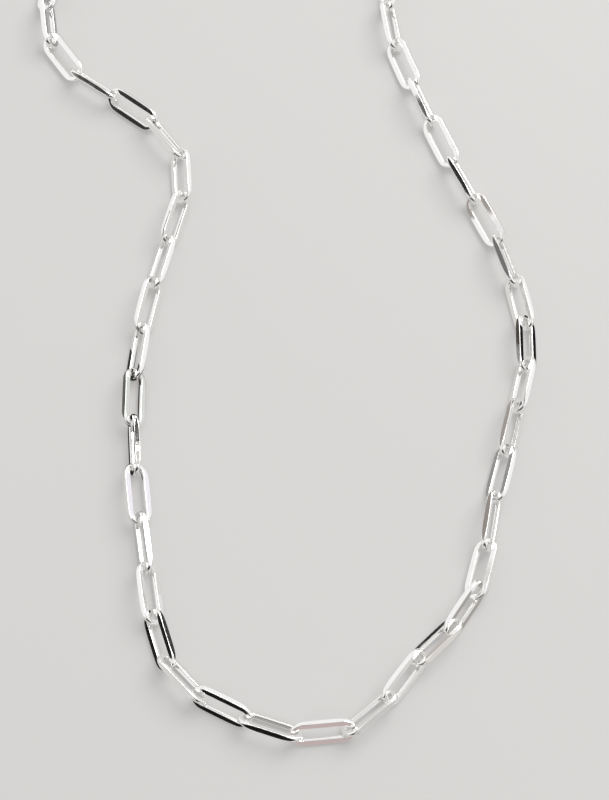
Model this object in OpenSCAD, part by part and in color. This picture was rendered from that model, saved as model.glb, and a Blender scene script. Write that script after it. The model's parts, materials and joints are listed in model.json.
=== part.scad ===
/* [Link] */
// Length of one link over its round ends
link_l = 10.5; // [9:0.1:13]
// Width of one link over its two sides
link_w = 4.2; // [3.8:0.1:5.2]
// Width of the wire across the link's flat face
wire_w = 0.95; // [0.75:0.05:1.1]
// Thickness of the wire between the link's two flat faces
wire_t = 0.85; // [0.7:0.05:1.1]
// Chamfer along the wire's two edges inside the link
edge_in = 0.25; // [0.1:0.05:0.3]
// Chamfer along the wire's two edges outside the link
edge_out = 0.1; // [0.05:0.05:0.2]
// Clear space between two pieces where one is pulled against the next
slip = 0.25; // [0.2:0.05:0.4]
// Turn of each link about its length against the last one, as the chain lies
link_turn = 75; // [70:5:90]

/* [Rings] */
// Width of the two round jump rings at the clasp
ring_d = 5; // [4.6:0.1:6]
// Thickness of the jump rings' round wire
ring_wire = 0.8; // [0.6:0.05:1]

/* [Clasp] */
// Distance from the middle of the hook to the clasp's neck
clasp_l = 6.6; // [5.5:0.1:9]
// Width of the clasp over its hook
clasp_w = 5; // [4.4:0.1:6.5]
// Thickness of the hook's round bar
clasp_bar = 1.3; // [1.2:0.05:1.5]
// Thickness of the two arms that run from the hook to the neck
clasp_arm = 1.1; // [0.9:0.05:1.1]
// Thickness of the collar that joins the arms at the neck
collar_d = 1.6; // [1.5:0.05:2]
// Length of that collar
collar_l = 1.6; // [1.2:0.1:2]
// Width of the small eye at the clasp's neck
eye_d = 2.8; // [2.6:0.1:3.6]
// Thickness of the eye's round wire
eye_wire = 0.7; // [0.6:0.05:0.9]
// Thickness of the thumb knob on the clasp's lever
knob_d = 1; // [0.7:0.05:1.3]
// Height of the thumb knob above the lever
knob_h = 0.5; // [0.3:0.05:1]

/* [Hidden] */
$fn = 48;
X = 0;
Y = 1;
TWIST = 2;
PULL = 3;

// Spacing of the links when the chain is pulled straight
taut = link_l - 2 * wire_w - slip;
// Radius of the wire's centre line round a link's end, and half the straight side
bend_r = (link_w - wire_w) / 2;
half_side = (link_l - link_w) / 2;
ring_r = (ring_d - ring_wire) / 2;
hook_r = (clasp_w - clasp_bar) / 2;
eye_r = (eye_d - eye_wire) / 2;

// Lengths along the back of the loop, from one chain end to the other
ring_run = 2 * ring_r - ring_wire - slip;
clasp_run = hook_r + clasp_l + 2 * eye_r - (clasp_bar + eye_wire) / 2 - slip;
back_run = 2 * ring_run + clasp_run;

// Middle of the clasp's run at the back of the loop
back = [-16, 132.4];
// The chain's route as it lies, from the clasp down the left side, round the front
// and up the right side: x, y, turn of the links about their length in degrees, and
// spacing as a share of the taut spacing
chosen = [
    [-35.5, 123.5, 80, 1],
    [-43, 103, 55, 1],
    [-44.3, 84, 36, 1],
    [-45.4, 74, 36, 0.86],
    [-42.6, 63.3, 40, 1],
    [-31, 54.3, 52, 1],
    [-22.5, 47, 48, 1],
    [-20.5, 37, 45, 1],
    [-24.5, 22, 50, 1],
    [-27.5, 5, 52, 1],
    [-27, -12, 76, 0.99],
    [-24.5, -30, 60, 1],
    [-22, -42, 46, 0.86],
    [-17, -48.5, 52, 0.88],
    [-8, -53, 59, 1],
    [2, -55.5, 55, 1],
    [10, -52.5, 54, 0.96],
    [17.5, -43.5, 57, 0.91],
    [24.5, -36.5, 61, 0.76],
    [28, -29, 68, 1],
    [29.5, -20, 62, 1],
    [34, -3, 51, 0.93],
    [36.5, 10, 45, 0.88],
    [33, 26, 62, 1],
    [25.5, 42, 62, 1],
    [18.5, 59, 64, 1],
    [15, 70, 52, 0.95],
    [14.5, 84, 44, 1],
    [12.5, 103, 30, 1],
    [3.5, 122, 14, 1]
];
route = concat(
    [[back[X] - back_run / 2, back[Y], 180 - link_turn, 1]],
    chosen,
    [[back[X] + back_run / 2, back[Y], 0, 1]]
);

// The smooth line through the route's points
steps = 12;
last = len(route) - 1;
function row(k) = route[(k + len(route)) % len(route)];
function curve(a, b, c, d, u) =
    b + u * (c - a) / 2 + u * u * (2 * a - 5 * b + 4 * c - d) / 2
    + u * u * u * (3 * b - a - 3 * c + d) / 2;
function spot(k, u) =
    let (
        place = curve(row(k - 1), row(k), row(k + 1), row(k + 2), u),
        lie = (1 - u) * row(k) + u * row(k + 1)
    )
    [place[X], place[Y], lie[TWIST], lie[PULL]];
line = [for (k = [0:last - 1], s = [0:steps - 1]) spot(k, s / steps), route[last]];

// Number of links that fit from the start of the line to each of its points
function stride(i) =
    i + 1 < len(line)
    ? norm([line[i + 1][X] - line[i][X], line[i + 1][Y] - line[i][Y]]) / (taut * line[i][PULL])
    : 0;
fits = [for (i = 0, sum = 0; i < len(line); sum = sum + stride(i), i = i + 1) sum];
// An even number of links, so that both ends of the chain meet the rings alike
links = 2 * ceil(fits[len(fits) - 1] / 2);
squeeze = links / fits[len(fits) - 1];
function track(column) = [for (i = [0:len(line) - 1]) [squeeze * fits[i], line[i][column]]];
track_x = track(X);
track_y = track(Y);
track_twist = track(TWIST);

// Turn of a link about its length: each second one has the link turn added to the route's
function roll(i) = lookup(i + 0.5, track_twist) + link_turn * ((i + 1) % 2);
// Half the wire's height when a link is turned by an angle
function wire_rise(a) =
    max(
        wire_w / 2 * abs(sin(a)) + (wire_t / 2 - edge_out) * abs(cos(a)),
        (wire_w / 2 - edge_out) * abs(sin(a)) + wire_t / 2 * abs(cos(a))
    );
// Height of a link's middle over the surface that its lower side lies on
function rise(i) =
    i < 0 || i >= links
    ? ring_d / 2
    : bend_r * abs(sin(roll(i))) + wire_rise(roll(i));
// How much lower a piece may lie at a joint than the next, inside their clear space
drop = slip / 2;
// Where link i ends at joint j, beside its neighbour there
function joint(i, j, other) = [
    lookup(j, track_x),
    lookup(j, track_y),
    max(rise(i), rise(other) - drop)
];
function head(i) = joint(i, i, i - 1);
function tail(i) = joint(i, i + 1, i + 1);

// The loop's own middle, so that it lies centred on the origin
function unit(v) = v / norm(v);
function along(i) = unit(tail(i) - head(i));
function across(i) =
    let (a = along(i), side = unit([-a[Y], a[X], 0]), up = cross(a, side))
    cos(roll(i)) * side + sin(roll(i)) * up;
function reach(i, axis) =
    half_side * abs(along(i)[axis]) + bend_r * norm([along(i)[axis], across(i)[axis]]) + wire_w / 2;
function middle(i, axis) = (head(i)[axis] + tail(i)[axis]) / 2;
all_links = [0:links - 1];
function low(axis) = min([for (i = all_links) middle(i, axis) - reach(i, axis)]);
function high(axis) = max([for (i = all_links) middle(i, axis) + reach(i, axis)]);
centre = [
    (low(X) + high(X)) / 2,
    (low(Y) + max(high(Y), back[Y] + clasp_w / 2 + knob_h)) / 2
];

// Puts a piece that lies along X from one point to another, turned about its length
module between(p, q, turn) {
    d = q - p;
    translate((p + q) / 2)
        rotate([turn, -asin(d[2] / norm(d)), atan2(d[Y], d[X])])
            children();
}

// The wire's section, with the outside of the link towards +X
module wire_section() {
    w = wire_w / 2;
    t = wire_t / 2;
    polygon([
        [w, edge_out - t], [w, t - edge_out], [w - edge_out, t], [edge_in - w, t],
        [-w, t - edge_in], [-w, edge_in - t], [edge_in - w, -t], [w - edge_out, -t]
    ]);
}

// One long link with flat faces: two straight sides joined by two half rings
module link() {
    for (turn = [0, 180])
        rotate([0, 0, turn]) {
            translate([half_side, 0, 0])
                rotate([0, 0, -90])
                    rotate_extrude(angle = 180)
                        translate([bend_r, 0])
                            wire_section();
            translate([0, bend_r, 0])
                rotate([90, 0, 90])
                    linear_extrude(height = 2 * half_side, center = true)
                        wire_section();
        }
}

module round_ring(r, wire) {
    rotate_extrude()
        translate([r, 0])
            circle(d = wire);
}

// The clasp's run lies level along the back, between the chain's two ends
ring_h = ring_d / 2;
clasp_h = ring_h - drop;
back_x0 = back[X] - back_run / 2;
function back_spot(x, z) = [back_x0 + x, back[Y], z];

module chain() {
    color("silver")
        translate(-centre)
            for (i = all_links)
                between(head(i), tail(i), roll(i))
                    link();
}

module end_ring() {
    color("silver")
        translate(-centre)
            translate(back_spot(ring_run / 2, ring_h))
                rotate([90, 0, 0])
                    round_ring(ring_r, ring_wire);
}

module clasp_ring() {
    color("silver")
        translate(-centre)
            translate(back_spot(back_run - ring_run / 2, ring_h))
                rotate([90, 0, 0])
                    round_ring(ring_r, ring_wire);
}

// Drop-shaped hook that closes on itself, with a thumb knob and an eye at its neck
module clasp() {
    hook_x = ring_run - (clasp_bar + slip) / 2 + hook_r;
    slope = asin(hook_r / clasp_l);
    overlap = 0.3;
    arm = clasp_l * cos(slope) + overlap;
    color("silver")
        translate(-centre)
            translate(back_spot(hook_x, clasp_h)) {
                rotate([0, 0, 90 - slope])
                    rotate_extrude(angle = 180 + 2 * slope)
                        translate([hook_r, 0])
                            circle(d = clasp_bar);
                for (side = [-1, 1])
                    translate([clasp_l, 0, 0])
                        rotate([0, -90, side * slope])
                            cylinder(d = clasp_arm, h = arm);
                translate([clasp_l - collar_l * 2 / 3, 0, 0])
                    rotate([0, 90, 0])
                        cylinder(d = collar_d, h = collar_l);
                translate([clasp_l + eye_r, 0, 0])
                    round_ring(eye_r, eye_wire);
                translate([clasp_l / 3, hook_r * 2 / 3, 0])
                    rotate([-90, 0, 0])
                        cylinder(d = knob_d, h = hook_r / 3 + clasp_bar / 2 + knob_h);
            }
}

chain();
end_ring();
clasp();
clasp_ring();
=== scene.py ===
"""A paperclip chain necklace of polished silver links, lying on a pale floor."""

import json
import math
import random

import bpy
import numpy as np
from mathutils import Matrix, Vector

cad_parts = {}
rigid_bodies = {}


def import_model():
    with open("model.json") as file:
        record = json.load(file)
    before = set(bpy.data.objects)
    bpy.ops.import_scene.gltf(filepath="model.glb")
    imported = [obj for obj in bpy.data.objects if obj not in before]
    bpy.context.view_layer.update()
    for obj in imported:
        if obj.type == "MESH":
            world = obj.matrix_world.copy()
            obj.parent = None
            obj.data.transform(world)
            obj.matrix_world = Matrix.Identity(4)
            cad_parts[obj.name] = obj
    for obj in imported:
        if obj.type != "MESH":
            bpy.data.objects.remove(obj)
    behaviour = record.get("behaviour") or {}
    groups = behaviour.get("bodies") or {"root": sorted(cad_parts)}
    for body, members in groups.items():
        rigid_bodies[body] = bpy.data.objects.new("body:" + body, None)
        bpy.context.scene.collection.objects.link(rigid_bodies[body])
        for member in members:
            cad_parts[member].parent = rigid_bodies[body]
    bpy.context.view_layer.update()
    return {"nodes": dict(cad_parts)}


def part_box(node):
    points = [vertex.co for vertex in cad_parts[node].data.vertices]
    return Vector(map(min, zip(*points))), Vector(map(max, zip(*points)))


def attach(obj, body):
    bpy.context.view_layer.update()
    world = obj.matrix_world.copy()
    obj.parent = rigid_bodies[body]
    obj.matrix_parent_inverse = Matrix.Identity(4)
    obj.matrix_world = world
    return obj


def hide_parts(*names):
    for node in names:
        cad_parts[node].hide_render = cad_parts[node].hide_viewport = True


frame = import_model()
scene = bpy.context.scene
MM = 0.001
rng = random.Random(7)

# The camera stands in front of the loop and looks down steeply
look_at = Vector((4.63, -39.46, 0)) * MM
camera_height_angle = math.radians(68)
camera_distance = 308.9 * MM
camera_lens = 85.5

# The links' wire: the rounding of its edges inside and outside the link, and the flat
# cut on each outer side, which is widest at mid-side and runs out at the bends
inner_round = 0.12 * MM
inner_bend_round = 0.24 * MM
edge_round = 0.045 * MM
bend_round = 0.3 * MM
cut_half_length = 4.1 * MM
cut_fullness = 4
edge_steps = 4
inner_steps = 8
bend_steps = 14
side_steps = 8

# The jump rings' wire
ring_steps = 64
ring_sides = 20
ring_cut = 0.07 * MM

# The clasp's casting: the fineness of its surface and how much it is softened
cast_grain = 0.08 * MM
cast_rounds = 5
cast_softness = 0.5

# The two cuts that part the clasp's lever from its body, and the lever's pin. Each spot
# is measured from the clasp's left end and from its middle line, each turn in radians.
lever_cut = 0.1 * MM
cut_depth = 3 * MM
nose_spot, nose_length, nose_turn = (1.1 * MM, 1.7 * MM), 2.4 * MM, 0.6
heel_spot, heel_length, heel_turn = (7.5 * MM, 0.45 * MM), 1.1 * MM, -0.284
pin_spot, pin_radius, pin_half_height = (6.8 * MM, 0.42 * MM), 0.25 * MM, 0.6 * MM

# The floor, and the faint glow that keeps its shadows weak
floor_half = 5
floor_colour = (0.25, 0.246, 0.24, 1)
floor_glow = (0.3, 0.295, 0.29, 1)

# The studio: its strength, where towards the front it starts and ends to darken with the
# tone at both places, and its plain colour behind the floor
studio_strength = 0.97
studio_fall = ((0.6, 1.0), (0.82, 0.05))
studio_plain = (0.74, 0.73, 0.72, 1)

# The lamp, its place measured from the spot that the camera looks at
lamp_width = 0.6
lamp_energy = 6
lamp_place = Vector((0.34, 0.36, 0.56))

# The dark card behind the camera
back_card_gap = 12 * MM
back_card_size = (75 * MM, 150 * MM)
back_card_tone = (0.02, 0.02, 0.02)

# The cards that single links reflect. The shading of a link's flat leans by a few degrees
# at most, until its ray rises enough to meet a card. A card is as long as its link and a
# little more, and hangs at its reach from the link, or lies just above the floor as a
# painted shadow of the floor beside the link, which only reflections see.
lean_most = 10
lean_step = 0.5
card_rise = 0.1
card_reach = 70 * MM
middle_card = 45 * MM
near_card = 8 * MM
card_extra = 0.6 * MM
card_flat_width = 12 * MM
card_wall_width = 3 * MM
card_side_width = 8 * MM
low_card_lift = 0.05 * MM
low_card_share = 0.8
low_side_share = 4

# Each card's link, facet and tone, and where it needs them the part of the facet, the
# wall and the reach, as show_card has them. The first link in view counts as 0. A "low"
# card is painted shade on the floor beside its link.
first_seen = 7
tones = (
    (1, "low", (0.35, 0.35, 0.35)),
    (3, "side", (0.05, 0.05, 0.05)),
    (3, "side", (0.8, 0.79, 0.78), (0, 1), -1, near_card),
    (4, "flat", (0.03, 0.03, 0.03)),
    (5, "side", (0.72, 0.71, 0.69)),
    (11, "flat", (0.72, 0.74, 0.71)),
    (11, "side", (0.12, 0.12, 0.11), (0, 1), 1),
    (11, "side", (0.04, 0.04, 0.035), (0, 1), -1),
    (12, "side", (0.04, 0.035, 0.03), (0, 0.58)),
    (12, "side", (0.62, 0.6, 0.58), (0.6, 1)),
    (12, "low", (0.02, 0.02, 0.02)),
    (13, "flat", (0.95, 0.92, 1.0), (0.2, 0.8)),
    (14, "low", (0.45, 0.45, 0.45)),
    (16, "flat", (0.01, 0.01, 0.01)),
    (16, "side", (0.05, 0.05, 0.05)),
    (16, "side", (0.8, 0.8, 0.8), (0, 1), -1, near_card),
    (17, "side", (0.68, 0.67, 0.66)),
    (18, "flat", (0.01, 0.01, 0.01)),
    (19, "side", (0.01, 0.01, 0.01)),
    (19, "side", (0.6, 0.58, 0.56), (0, 1), -1, near_card),
    (20, "flat", (0.55, 0.45, 0.44)),
    (21, "side", (0.6, 0.59, 0.58)),
    (23, "side", (0.72, 0.69, 0.66)),
    (23, "flat", (0.02, 0.02, 0.02), (0, 1), 1.9, middle_card),
    (23, "flat", (0.55, 0.51, 0.48), (0, 1), -1, middle_card),
    (24, "low", (0.4, 0.38, 0.36)),
    (26, "side", (0.3, 0.27, 0.25)),
    (27, "flat", (0.3, 0.3, 0.3)),
    (28, "side", (0.36, 0.33, 0.31)),
    (30, "flat", (0.01, 0.01, 0.01)),
    (30, "side", (0.07, 0.06, 0.05)),
    (32, "side", (0.17, 0.17, 0.17)),
    (32, "side", (0.85, 0.85, 0.86), (0, 1), -1, near_card),
    (34, "side", (0.02, 0.02, 0.02)),
    (34, "side", (0.85, 0.85, 0.86), (0, 1), -1, near_card),
    (36, "side", (0.12, 0.12, 0.12), (0, 0.5)),
    (36, "side", (0.85, 0.85, 0.86), (0, 1), -1, near_card),
)


# Objects and the camera

def new_object(name, mesh):
    thing = bpy.data.objects.new(name, mesh)
    scene.collection.objects.link(thing)
    return thing


def from_lists(name, points, faces, smooth=True):
    mesh = bpy.data.meshes.new(name)
    mesh.from_pydata([tuple(p) for p in points], [], [tuple(f) for f in faces])
    mesh.polygons.foreach_set("use_smooth", [smooth] * len(mesh.polygons))
    mesh.update()
    return new_object(name, mesh)


camera_side = Vector((0, -math.cos(camera_height_angle), math.sin(camera_height_angle)))
camera_spot = look_at + camera_distance * camera_side


def make_camera():
    data = bpy.data.cameras.new("camera")
    data.lens = camera_lens
    data.sensor_fit = "VERTICAL"
    data.sensor_height = 36
    data.clip_start = 0.01
    camera = bpy.data.objects.new("camera", data)
    camera.location = camera_spot
    camera.rotation_euler = camera_side.to_track_quat("Z", "Y").to_euler()
    scene.collection.objects.link(camera)
    scene.camera = camera


# Materials

def new_material(name):
    material = bpy.data.materials.new(name)
    material.use_nodes = True
    tree = material.node_tree
    return material, tree, tree.nodes["Principled BSDF"]


def node(tree, kind, **settings):
    made = tree.nodes.new(kind)
    for key, value in settings.items():
        if key.startswith("in_"):
            made.inputs[key[3:].replace("_", " ")].default_value = value
        else:
            setattr(made, key, value)
    return made


def polish_group():
    """Polished metal: broad waviness, fine hairlines and a faint film in scattered patches."""
    group = bpy.data.node_groups.new("polish", "ShaderNodeTree")
    face = group.interface
    for name, kind, value in (
        ("Place", "NodeSocketVector", None),
        ("Film", "NodeSocketFloat", 0.1),
        ("Smoothness", "NodeSocketFloat", 0.05),
        ("Haze", "NodeSocketFloat", 0.1),
    ):
        socket = face.new_socket(name, in_out="INPUT", socket_type=kind)
        if value is not None:
            socket.default_value = value
    face.new_socket("Color", in_out="OUTPUT", socket_type="NodeSocketColor")
    face.new_socket("Roughness", in_out="OUTPUT", socket_type="NodeSocketFloat")
    face.new_socket("Height", in_out="OUTPUT", socket_type="NodeSocketFloat")
    into = group.nodes.new("NodeGroupInput")
    out = group.nodes.new("NodeGroupOutput")
    link = group.links.new

    cloud = node(group, "ShaderNodeTexNoise", in_Scale=0.45, in_Detail=3.0)
    link(into.outputs["Place"], cloud.inputs["Vector"])
    patch = node(group, "ShaderNodeMapRange", in_From_Min=0.4, in_From_Max=0.75)
    link(cloud.outputs["Fac"], patch.inputs["Value"])
    film = node(group, "ShaderNodeMath", operation="MULTIPLY")
    link(patch.outputs["Result"], film.inputs[0])
    link(into.outputs["Film"], film.inputs[1])
    colour = node(group, "ShaderNodeMix", data_type="RGBA")
    colour.inputs["A"].default_value = (0.935, 0.93, 0.92, 1)
    colour.inputs["B"].default_value = (0.72, 0.67, 0.6, 1)
    link(film.outputs[0], colour.inputs["Factor"])
    link(colour.outputs["Result"], out.inputs["Color"])

    grain = node(group, "ShaderNodeTexNoise", in_Scale=1.3, in_Detail=5.0)
    link(into.outputs["Place"], grain.inputs["Vector"])
    rough = node(group, "ShaderNodeMath", operation="MULTIPLY_ADD")
    link(grain.outputs["Fac"], rough.inputs[0])
    link(into.outputs["Haze"], rough.inputs[1])
    link(into.outputs["Smoothness"], rough.inputs[2])
    link(rough.outputs[0], out.inputs["Roughness"])

    # Hairlines run across the wire, and the waves are a few millimetres long
    stretch = node(group, "ShaderNodeVectorMath", operation="MULTIPLY")
    stretch.inputs[1].default_value = (4, 0.7, 0.7)
    link(into.outputs["Place"], stretch.inputs[0])
    hairs = node(group, "ShaderNodeTexNoise", in_Scale=1.0, in_Detail=2.0)
    link(stretch.outputs[0], hairs.inputs["Vector"])
    waves = node(group, "ShaderNodeTexNoise", in_Scale=0.32, in_Detail=1.0)
    link(into.outputs["Place"], waves.inputs["Vector"])
    height = node(group, "ShaderNodeMath", operation="MULTIPLY_ADD")
    height.inputs[1].default_value = 0.06
    link(hairs.outputs["Fac"], height.inputs[0])
    link(waves.outputs["Fac"], height.inputs[2])
    link(height.outputs[0], out.inputs["Height"])
    return group


def silver(name, polish, film, smoothness, haze, relief):
    material, tree, surface = new_material(name)
    surface.inputs["Metallic"].default_value = 1
    place = node(tree, "ShaderNodeAttribute", attribute_name="wire_place")
    worked = node(tree, "ShaderNodeGroup", node_tree=polish)
    worked.inputs["Film"].default_value = film
    worked.inputs["Smoothness"].default_value = smoothness
    worked.inputs["Haze"].default_value = haze
    bump = node(tree, "ShaderNodeBump", in_Strength=relief, in_Distance=0.1 * MM)
    link = tree.links.new
    link(place.outputs["Vector"], worked.inputs["Place"])
    link(worked.outputs["Color"], surface.inputs["Base Color"])
    link(worked.outputs["Roughness"], surface.inputs["Roughness"])
    link(worked.outputs["Height"], bump.inputs["Height"])
    link(bump.outputs["Normal"], surface.inputs["Normal"])
    return material


# The links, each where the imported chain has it

class Pose:
    """Where one link lies: its middle and its three directions."""

    def __init__(self, middle, along, across, up, size):
        self.middle = middle
        self.along = along
        self.across = across
        self.up = up
        self.size = size
        self.lean = 0.0

    def frame(self):
        return np.array([self.along, self.across, self.up])


def loose_parts(thing):
    """The separate closed forms of a mesh, each as its triangles' corner points."""
    mesh = thing.data
    mesh.calc_loop_triangles()
    points = np.zeros(len(mesh.vertices) * 3)
    mesh.vertices.foreach_get("co", points)
    points = points.reshape(-1, 3)
    corners = np.zeros(len(mesh.loop_triangles) * 3, int)
    mesh.loop_triangles.foreach_get("vertices", corners)
    keys = np.round(points / (0.001 * MM)).astype(int)
    merged = np.unique(keys, axis=0, return_inverse=True)[1].reshape(-1)
    triangles = merged[corners].reshape(-1, 3)
    label = np.arange(merged.max() + 1)
    while True:
        lowest = label[triangles].min(axis=1)
        before = label.copy()
        for column in range(3):
            np.minimum.at(label, triangles[:, column], lowest)
        label = label[label]
        if (label == before).all():
            break
    owner = label[triangles[:, 0]]
    shapes = points[corners].reshape(-1, 3, 3)
    return [shapes[owner == part] for part in np.unique(owner)]


def link_pose(triangles):
    """The pose of a link from the spread of its surface about its middle."""
    a, b, c = triangles[:, 0], triangles[:, 1], triangles[:, 2]
    area = np.linalg.norm(np.cross(b - a, c - a), axis=1) / 2
    middle = (area[:, None] * (a + b + c) / 3).sum(axis=0) / area.sum()
    spread = np.zeros((3, 3))
    for corner in ((a + b) / 2, (b + c) / 2, (c + a) / 2):
        offset = corner - middle
        spread += np.einsum("n,ni,nj->ij", area, offset, offset)
    directions = np.linalg.eigh(spread)[1].T
    along, across, up = directions[2], directions[1], directions[0]
    if up[2] < 0:
        up = -up
    reach = np.abs((triangles.reshape(-1, 3) - middle) @ np.array([along, across, up]).T)
    return Pose(middle, along, across, up, 2 * reach.max(axis=0))


def ordered_poses():
    """The links' poses from the end ring to the clasp's ring."""
    left = [link_pose(part) for part in loose_parts(frame["nodes"]["chain"])]
    low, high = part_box("end_ring")
    here = np.array((low + high) / 2)
    row = []
    while left:
        nearest = min(left, key=lambda pose: np.linalg.norm(pose.middle - here))
        left.remove(nearest)
        if nearest.along @ (nearest.middle - here) < 0:
            nearest.along = -nearest.along
        nearest.across = np.cross(nearest.up, nearest.along)
        row.append(nearest)
        here = nearest.middle
    return row


def ellipse_arc(hub, half_x, half_y, first, sweep, steps):
    """Points and outward directions on part of an ellipse, with turns in degrees."""
    points, outward = [], []
    for k in range(steps + 1):
        turn = math.radians(first + sweep * k / steps)
        points.append((hub[0] + half_x * math.cos(turn), hub[1] + half_y * math.sin(turn)))
        ray = Vector((math.cos(turn) / half_x, math.sin(turn) / half_y))
        outward.append(tuple(ray.normalized()))
    return points, outward


def wire_section(wide, thick, inner, depth, height):
    """The wire's section, its outside towards +X, with the depth of its inner round and
    the depth and height of its outer edges: its points, and the outward directions at
    both ends of each stretch after them."""
    w, t = wide / 2, thick / 2
    parts = (
        (ellipse_arc((w - depth, t - height), depth, height, 0, 90, edge_steps), (0, 1)),
        (ellipse_arc((inner - w, 0), inner, t, 90, 180, inner_steps), (0, -1)),
        (ellipse_arc((w - depth, height - t), depth, height, 270, 90, edge_steps), (1, 0)),
    )
    points, starts, ends = [], [], []
    for (spots, outward), flat in parts:
        points += spots
        starts += outward[:-1] + [flat]
        ends += outward[1:] + [flat]
    return np.array(points), np.array(starts, float), np.array(ends, float)


def link_stations(bend, half_side):
    """Places along one link's wire: the spot on its centre line, the direction to the
    outside, the side it belongs to and how far it is from that side's middle."""
    stations = []
    for end in (1, -1):
        for k in range(bend_steps + 1):
            turn = math.pi * k / bend_steps - math.pi / 2
            ray = np.array([math.cos(turn), math.sin(turn), 0]) * end
            spot = np.array([half_side * end, 0, 0]) + bend * ray
            past = half_side + bend * (math.pi / 2 - abs(turn))
            stations.append((spot, ray, math.copysign(1, ray[1]), past))
        for k in range(1, side_steps):
            along = half_side * (1 - 2 * k / side_steps)
            ray = np.array([0.0, end, 0])
            stations.append((np.array([along * end, bend * end, 0]), ray, end, abs(along)))
    return stations


def link_form(length, width, wide, thick):
    """One link about the origin: its length along X, its width along Y. Each stretch of
    the section has its own outward directions, so its flat faces keep crisp lines."""
    bend = (width - wide) / 2
    half_side = (length - width) / 2
    up = np.array([0, 0, 1.0])
    spots, starts, ends = [], [], []
    for spot, ray, side, past in link_stations(bend, half_side):
        share = min(1, past / cut_half_length) ** cut_fullness
        inner = inner_round + (inner_bend_round - inner_round) * share
        depth = edge_round + (bend_round - edge_round) * share
        height = edge_round + (thick / 2 - edge_round) * share
        section, first, second = wire_section(wide, thick, inner, depth, height)
        spots.append(spot + section[:, :1] * ray + section[:, 1:] * up)
        start, end = (d[:, :1] * ray + d[:, 1:] * up for d in (first, second))
        if past < cut_half_length:
            start[-1] = end[-1] = (0, side, 0)
        starts.append(start)
        ends.append(end)
    rings, around = len(spots), len(spots[0])
    ring, place = np.divmod(np.arange(rings * around), around)
    ahead, beside = (ring + 1) % rings, (place + 1) % around
    faces = np.stack([
        ring * around + place, ahead * around + place,
        ahead * around + beside, ring * around + beside,
    ], axis=1)
    starts, ends = np.array(starts), np.array(ends)
    outward = np.stack([
        starts[ring, place], starts[ahead, place], ends[ahead, place], ends[ring, place],
    ], axis=1)
    flat = np.isin(place, (edge_steps, edge_steps + inner_steps + 1))
    return np.vstack(spots), faces, outward, flat


def wire_width(pose, triangles):
    """The wire's width, from the hole left in the link's round end."""
    local = (triangles.reshape(-1, 3) - pose.middle) @ pose.frame().T
    half_side = (pose.size[0] - pose.size[1]) / 2
    end = local[local[:, 0] > half_side]
    inner = np.hypot(end[:, 0] - half_side, end[:, 1]).min()
    return pose.size[1] / 2 - inner


def build_chain(poses, material):
    first = loose_parts(frame["nodes"]["chain"])[0]
    sample = link_pose(first)
    wide = wire_width(sample, first)
    length, width, thick = sample.size
    spots, faces, outward, flat = link_form(length, width, wide, thick)
    all_spots, all_faces, all_outward, places = [], [], [], []
    for count, pose in enumerate(poses):
        turned = pose.frame()
        all_faces.append(faces + len(spots) * count)
        placed = spots @ turned + pose.middle
        placed[:, 2] += max(0, -placed[:, 2].min())
        all_spots.append(placed)
        lean = math.radians(pose.lean)
        leaned = outward.copy()
        leaned[flat & (outward[:, 0, 2] > 0)] = (0, math.sin(lean), math.cos(lean))
        all_outward.append(leaned @ turned)
        places.append(spots / MM + np.array([0, 20.0 * count, rng.uniform(0, 90)]))
    chain = from_lists("chain_links", np.vstack(all_spots), np.vstack(all_faces))
    mesh = chain.data
    mesh.normals_split_custom_set(np.vstack(all_outward).reshape(-1, 3).tolist())
    place = mesh.attributes.new("wire_place", "FLOAT_VECTOR", "POINT")
    place.data.foreach_set("vector", np.vstack(places).astype(np.float32).reshape(-1))
    mesh.materials.append(material)
    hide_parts("chain")
    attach(chain, "root")


# The two jump rings and the clasp at the back

def mark_places(thing, shift):
    """Gives a piece the places that its material's pattern follows."""
    mesh = thing.data
    spots = np.zeros(len(mesh.vertices) * 3)
    mesh.vertices.foreach_get("co", spots)
    spots = spots.reshape(-1, 3) / MM + np.array([0, 0, shift])
    place = mesh.attributes.new("wire_place", "FLOAT_VECTOR", "POINT")
    place.data.foreach_set("vector", spots.astype(np.float32).reshape(-1))


def take_over(thing, name, material, shift):
    mark_places(thing, shift)
    thing.data.materials.clear()
    thing.data.materials.append(material)
    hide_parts(name)
    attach(thing, "root")


def build_ring(name, cut_turn, material, shift):
    """A jump ring that stands upright, with the fine cut where it was bent shut."""
    low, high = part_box(name)
    middle, size = (low + high) / 2, high - low
    wire = size.y / 2
    bend = size.x / 2 - wire
    half_cut = ring_cut / 2 / bend
    spots, faces = [], []
    for k in range(ring_steps + 1):
        turn = cut_turn + half_cut + (2 * math.pi - 2 * half_cut) * k / ring_steps
        ray = Vector((math.cos(turn), 0, math.sin(turn)))
        for j in range(ring_sides):
            side = 2 * math.pi * j / ring_sides
            offset = ray * math.cos(side) * wire + Vector((0, math.sin(side) * wire, 0))
            spots.append(middle + ray * bend + offset)
    for k in range(ring_steps):
        for j in range(ring_sides):
            here, there = k * ring_sides, (k + 1) * ring_sides
            beside = (j + 1) % ring_sides
            faces.append((here + j, here + beside, there + beside, there + j))
    faces.append(tuple(range(ring_sides - 1, -1, -1)))
    faces.append(tuple(range(ring_steps * ring_sides, (ring_steps + 1) * ring_sides)))
    ring = from_lists(name + "_wire", spots, faces)
    for polygon in ring.data.polygons[-2:]:
        polygon.use_smooth = False
    ring.data.set_sharp_from_angle(angle=math.radians(50))
    take_over(ring, name, material, shift)


def apply_modifiers(thing):
    bpy.context.view_layer.update()
    worked = thing.evaluated_get(bpy.context.evaluated_depsgraph_get())
    mesh = bpy.data.meshes.new_from_object(worked)
    thing.modifiers.clear()
    thing.data = mesh


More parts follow.
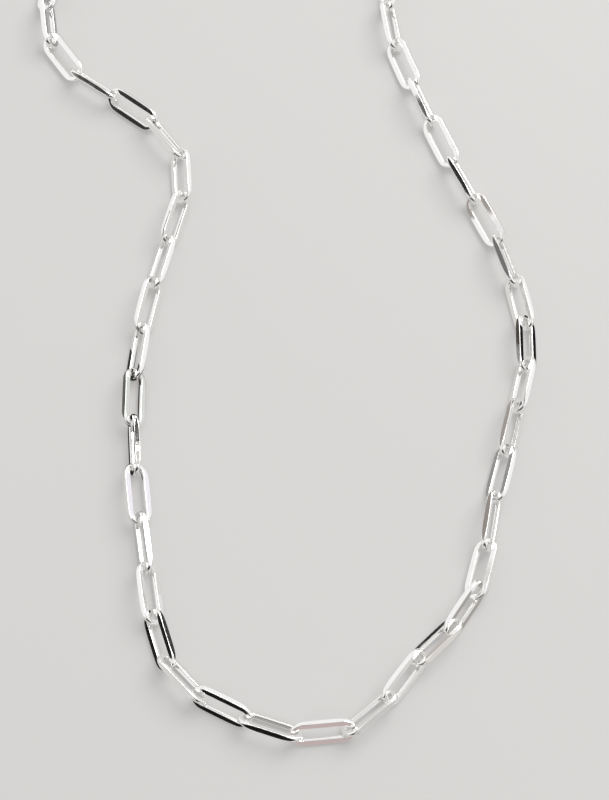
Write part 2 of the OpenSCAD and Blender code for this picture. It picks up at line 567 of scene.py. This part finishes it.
def rod(name, middle, radius, half_height, sides=32):
    """A round pin along Z with a small chamfer at both ends."""
    spots, faces = [], []
    chamfer = radius * 0.25
    for level, size in (
        (-half_height, radius - chamfer), (chamfer - half_height, radius),
        (half_height - chamfer, radius), (half_height, radius - chamfer),
    ):
        for k in range(sides):
            turn = 2 * math.pi * k / sides
            spots.append(middle + Vector((math.cos(turn), math.sin(turn), 0)) * size
                         + Vector((0, 0, level)))
    for level in range(3):
        for k in range(sides):
            beside = (k + 1) % sides
            here, there = level * sides, (level + 1) * sides
            faces.append((here + k, here + beside, there + beside, there + k))
    faces.append(tuple(range(sides - 1, -1, -1)))
    faces.append(tuple(range(3 * sides, 4 * sides)))
    return from_lists(name, spots, faces)


def block(name, middle, size, turn):
    """A thin block turned about Z, for the cuts round the clasp's lever."""
    spots = []
    for z in (-1, 1):
        for x, y in ((-1, -1), (1, -1), (1, 1), (-1, 1)):
            corner = Vector((x * size[0] / 2, y * size[1] / 2, z * size[2] / 2))
            spots.append(middle + Matrix.Rotation(turn, 3, "Z") @ corner)
    faces = [(3, 2, 1, 0), (4, 5, 6, 7), (0, 1, 5, 4), (1, 2, 6, 5), (2, 3, 7, 6), (3, 0, 4, 7)]
    return from_lists(name, spots, faces, smooth=False)


def build_clasp(material, shift):
    """The clasp's solid with the soft edges of a casting, a cut lever and its pin."""
    low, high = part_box("clasp")
    source = frame["nodes"]["clasp"]
    clasp = new_object("clasp_body", source.data.copy())
    remesh = clasp.modifiers.new("cast", "REMESH")
    remesh.mode = "VOXEL"
    remesh.voxel_size = cast_grain
    soften = clasp.modifiers.new("soften", "SMOOTH")
    soften.iterations = cast_rounds
    soften.factor = cast_softness
    apply_modifiers(clasp)
    middle = (low + high) / 2
    nose, heel, hinge = (
        Vector((low.x + spot[0], middle.y + spot[1], middle.z))
        for spot in (nose_spot, heel_spot, pin_spot)
    )
    nose_size = (lever_cut, nose_length, cut_depth)
    heel_size = (lever_cut, heel_length, cut_depth)
    for tool, operation in (
        (block("nose_cut", nose, nose_size, nose_turn), "DIFFERENCE"),
        (block("heel_cut", heel, heel_size, heel_turn), "DIFFERENCE"),
        (rod("hinge_pin", hinge, pin_radius, pin_half_height), "UNION"),
    ):
        change = clasp.modifiers.new(tool.name, "BOOLEAN")
        change.object = tool
        change.operation = operation
        change.solver = "EXACT"
        apply_modifiers(clasp)
        bpy.data.objects.remove(tool)
    clasp.data.polygons.foreach_set("use_smooth", [True] * len(clasp.data.polygons))
    clasp.data.set_sharp_from_angle(angle=math.radians(40))
    take_over(clasp, "clasp", material, shift)


# The floor, the studio and its cards

def lay_floor():
    half = floor_half
    floor = from_lists(
        "floor", [(-half, -half, 0), (half, -half, 0), (half, half, 0), (-half, half, 0)],
        [(0, 1, 2, 3)],
    )
    material, tree, surface = new_material("pale_floor")
    surface.inputs["Base Color"].default_value = floor_colour
    surface.inputs["Emission Color"].default_value = floor_glow
    surface.inputs["Emission Strength"].default_value = 1
    surface.inputs["Roughness"].default_value = 0.9
    surface.inputs["Specular IOR Level"].default_value = 0.1
    floor.data.materials.append(material)


def light_stage():
    """A pale studio, dark behind the camera, with one large soft lamp."""
    world = bpy.data.worlds.new("studio")
    scene.world = world
    world.use_nodes = True
    tree = world.node_tree
    place = node(tree, "ShaderNodeTexCoord")
    parts = node(tree, "ShaderNodeSeparateXYZ")
    ramp = node(tree, "ShaderNodeValToRGB")
    tree.links.new(place.outputs["Generated"], parts.inputs[0])
    front = node(tree, "ShaderNodeMath", operation="MULTIPLY")
    front.inputs[1].default_value = -1
    tree.links.new(parts.outputs["Y"], front.inputs[0])
    tree.links.new(front.outputs[0], ramp.inputs["Fac"])
    for element, (toward, tone) in zip(ramp.color_ramp.elements, studio_fall):
        element.position = toward
        element.color = (tone, tone, tone, 1)
    plain = node(tree, "ShaderNodeMix", data_type="RGBA")
    plain.inputs["B"].default_value = studio_plain
    seen = node(tree, "ShaderNodeLightPath")
    tree.links.new(seen.outputs["Is Camera Ray"], plain.inputs["Factor"])
    tree.links.new(ramp.outputs["Color"], plain.inputs["A"])
    background = tree.nodes["Background"]
    tree.links.new(plain.outputs["Result"], background.inputs["Color"])
    background.inputs["Strength"].default_value = studio_strength
    data = bpy.data.lights.new("window", "AREA")
    data.shape = "DISK"
    data.size = lamp_width
    data.energy = lamp_energy
    lamp = bpy.data.objects.new("window", data)
    lamp.location = look_at + lamp_place
    lamp.rotation_euler = (lamp.location - look_at).to_track_quat("Z", "Y").to_euler()
    scene.collection.objects.link(lamp)
    scene.view_settings.view_transform = "Standard"


def card(name, middle, first, second, size, tone):
    """A studio card that only reflections see: its two directions and its size along them."""
    first, second = Vector(first) * size[0] / 2, Vector(second) * size[1] / 2
    middle = Vector(middle)
    sheet = from_lists(
        name, [middle - first - second, middle + first - second,
               middle + first + second, middle - first + second],
        [(0, 1, 2, 3)], smooth=False,
    )
    material, tree, surface = new_material(name)
    surface.inputs["Base Color"].default_value = (0, 0, 0, 1)
    surface.inputs["Roughness"].default_value = 1
    surface.inputs["Specular IOR Level"].default_value = 0
    surface.inputs["Emission Color"].default_value = (*tone, 1)
    surface.inputs["Emission Strength"].default_value = 1
    sheet.data.materials.append(material)
    sheet.visible_camera = sheet.visible_diffuse = sheet.visible_shadow = False
    sheet.visible_transmission = sheet.visible_volume_scatter = False


def mirrored(spot, outward):
    """The direction in which the camera's view of a spot is thrown back."""
    view = spot - np.array(camera_spot)
    view /= np.linalg.norm(view)
    return view - 2 * (view @ outward) * outward


def lay_shade_card(pose, name, spot, ray, wide, tone):
    """Lays a dark card on the floor where a facet of a link shows the floor beside it. The card
    is painted shade of the floor next to the link, which only reflections see.
    """
    middle = spot - ray * (spot[2] - low_card_lift) / ray[2]
    along = np.array([pose.along[0], pose.along[1], 0])
    along /= np.linalg.norm(along)
    aside = np.array([-along[1], along[0], 0])
    size = pose.size[0] + 2 * card_extra, wide * low_card_share / -ray[2]
    card(name, middle, along, aside, size, tone)


def show_card(poses, number, facet, tone, part=(0, 1), wall=0, reach=card_reach):
    """Places a card that one facet of a link shows to the camera. The part is the
    stretch of the facet that shows it, from the link's first end to its last. The wall
    is 1 or -1 where only one wire of the link shows it: for a flat the left or the
    right one, for a side the outer or the inner one."""
    pose = poses[number + first_seen]
    name = f"card_{number}_{facet}_{len(scene.objects)}"
    # A low card lies on the floor as painted shade beside the link, which only reflections see
    if facet == "low":
        spot = pose.middle + pose.up * pose.size[2] / 2
        lay_shade_card(pose, name, spot, mirrored(spot, pose.up), pose.size[1], tone)
        return
    if facet == "flat":
        spot = pose.middle + pose.up * pose.size[2] / 2
        leans = np.arange(-lean_most, lean_most + lean_step, lean_step)
        for lean in sorted(leans, key=abs):
            angle = math.radians(lean)
            outward = math.cos(angle) * pose.up + math.sin(angle) * pose.across
            ray = mirrored(spot, outward)
            if ray[2] > card_rise:
                break
        pose.lean = lean
        spot = spot + wall * pose.across * (pose.size[1] - pose.size[2]) / 2
        wide = card_wall_width if wall else card_flat_width
    else:
        outward = pose.across * math.copysign(1, pose.across[2])
        spot = pose.middle + outward * pose.size[1] / 2
        if wall < 0:
            spot = spot - outward * (pose.size[1] - pose.size[2])
        ray = mirrored(spot, outward)
        # A side that looks down at the floor gets a card of painted shade lying there
        if ray[2] < 0:
            lay_shade_card(pose, name, spot, ray, low_side_share * pose.size[2], tone)
            return
        wide = card_side_width
    grow = 1 + reach / camera_distance
    length = pose.size[0] + 2 * card_extra
    start, end = (length * (share - 0.5) for share in part)
    along = pose.along - (pose.along @ ray) * ray
    if facet == "side" and wall:
        aside = np.cross(ray, along / np.linalg.norm(along))
        apart = abs(outward @ aside) * (pose.size[1] - pose.size[2]) * grow
        wide = min(card_wall_width, apart)
    middle = spot + pose.along * (start + end) / 2 * grow + ray * reach
    size = ((end - start) * grow * np.linalg.norm(along), wide)
    along /= np.linalg.norm(along)
    card(name, middle, along, np.cross(ray, along), size, tone)


make_camera()
lay_floor()
light_stage()
polish = polish_group()
poses = ordered_poses()
for row in tones:
    show_card(poses, *row)
rightward = Vector((1, 0, 0))
card("camera_back", camera_spot + camera_side * back_card_gap, rightward,
     camera_side.cross(rightward), back_card_size, back_card_tone)
link_silver = silver(
    "link_silver", polish, film=0.1, smoothness=0.02, haze=0.08, relief=0.2,
)
build_chain(poses, link_silver)
build_ring("end_ring", math.radians(250), link_silver, shift=5)
build_ring("clasp_ring", math.radians(290), link_silver, shift=9)
build_clasp(link_silver, shift=13)
